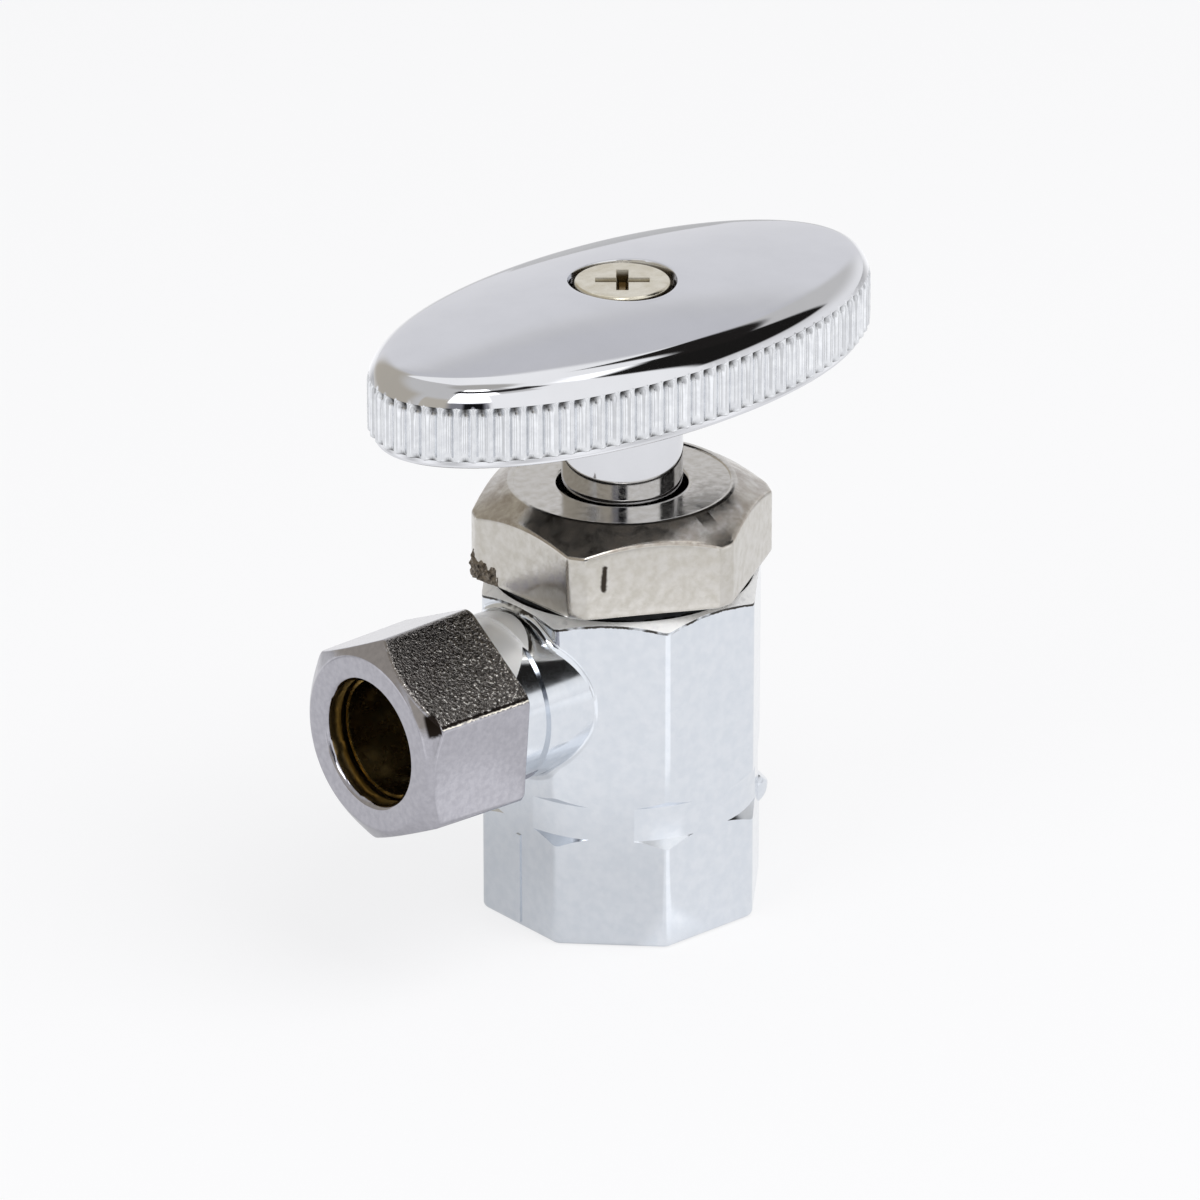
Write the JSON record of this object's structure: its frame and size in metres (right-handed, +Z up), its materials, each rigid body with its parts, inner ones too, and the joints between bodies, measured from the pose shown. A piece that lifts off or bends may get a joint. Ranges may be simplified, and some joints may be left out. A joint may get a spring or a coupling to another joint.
{
  "type": "angle valve",
  "caption": "Multi-turn angle valve: octagonal body with a threaded pipe inlet below, a compression outlet at the side and an oval handle on a rising stem.",
  "frame": {"origin": "centre of the inlet face, which is also the face that the valve stands on", "axes": "+Z up the inlet and stem axis to the handle, +X out of the compression outlet"},
  "size_m": [0.0518, 0.0252, 0.0544],
  "materials": {
    "chrome_brass": "polished chrome plate on forged brass",
    "chrome_nut": "chrome plate over a lightly pitted brass bar",
    "chrome_casting": "mirror chrome plate on a zinc die casting",
    "nickel_brass": "worn warm nickel plate on turned brass",
    "nickel_steel": "nickel-plated steel",
    "bare_brass": "bare turned brass",
    "gasket_rubber": "dark fibre rubber",
    "seal_rubber": "moulded black rubber"
  },
  "bodies": {
    "body": {"valve_body": "chrome_brass", "bonnet_nut": "nickel_brass", "bonnet_gasket": "gasket_rubber", "stem_o_ring": "seal_rubber"},
    "seat_carrier": {"seat_disc": "bare_brass", "seat_washer": "seal_rubber", "washer_nut": "bare_brass"},
    "spindle": {"stem": "bare_brass", "handle": "chrome_casting", "handle_screw": "nickel_steel"},
    "sleeve": {"compression_sleeve": "bare_brass"},
    "nut": {"compression_nut": "chrome_nut"}
  },
  "joints": [
    {"name": "stem_lift", "type": "slide", "parent": "body", "child": "seat_carrier", "axis": [0, 0, 1], "range_m": [-0.00313, 0]},
    {"name": "handle_turn", "type": "hinge", "parent": "seat_carrier", "child": "spindle", "pos_m": [0, 0, 0.03], "axis": [0, 0, 1], "range_deg": [-900, 0]},
    {"name": "sleeve_slide", "type": "slide", "parent": "body", "child": "sleeve", "axis": [1, 0, 0], "range_m": [0, 0.0037]},
    {"name": "nut_turn", "type": "hinge", "parent": "sleeve", "child": "nut", "pos_m": [0.0218, 0, 0.0213], "axis": [1, 0, 0], "range_deg": [0, 1260]}
  ],
  "couplings": [
    {"joint": "stem_lift", "follows": "handle_turn", "m_per_rad": 0.00019894},
    {"joint": "sleeve_slide", "follows": "nut_turn", "m_per_rad": 0.00016844}
  ]
}
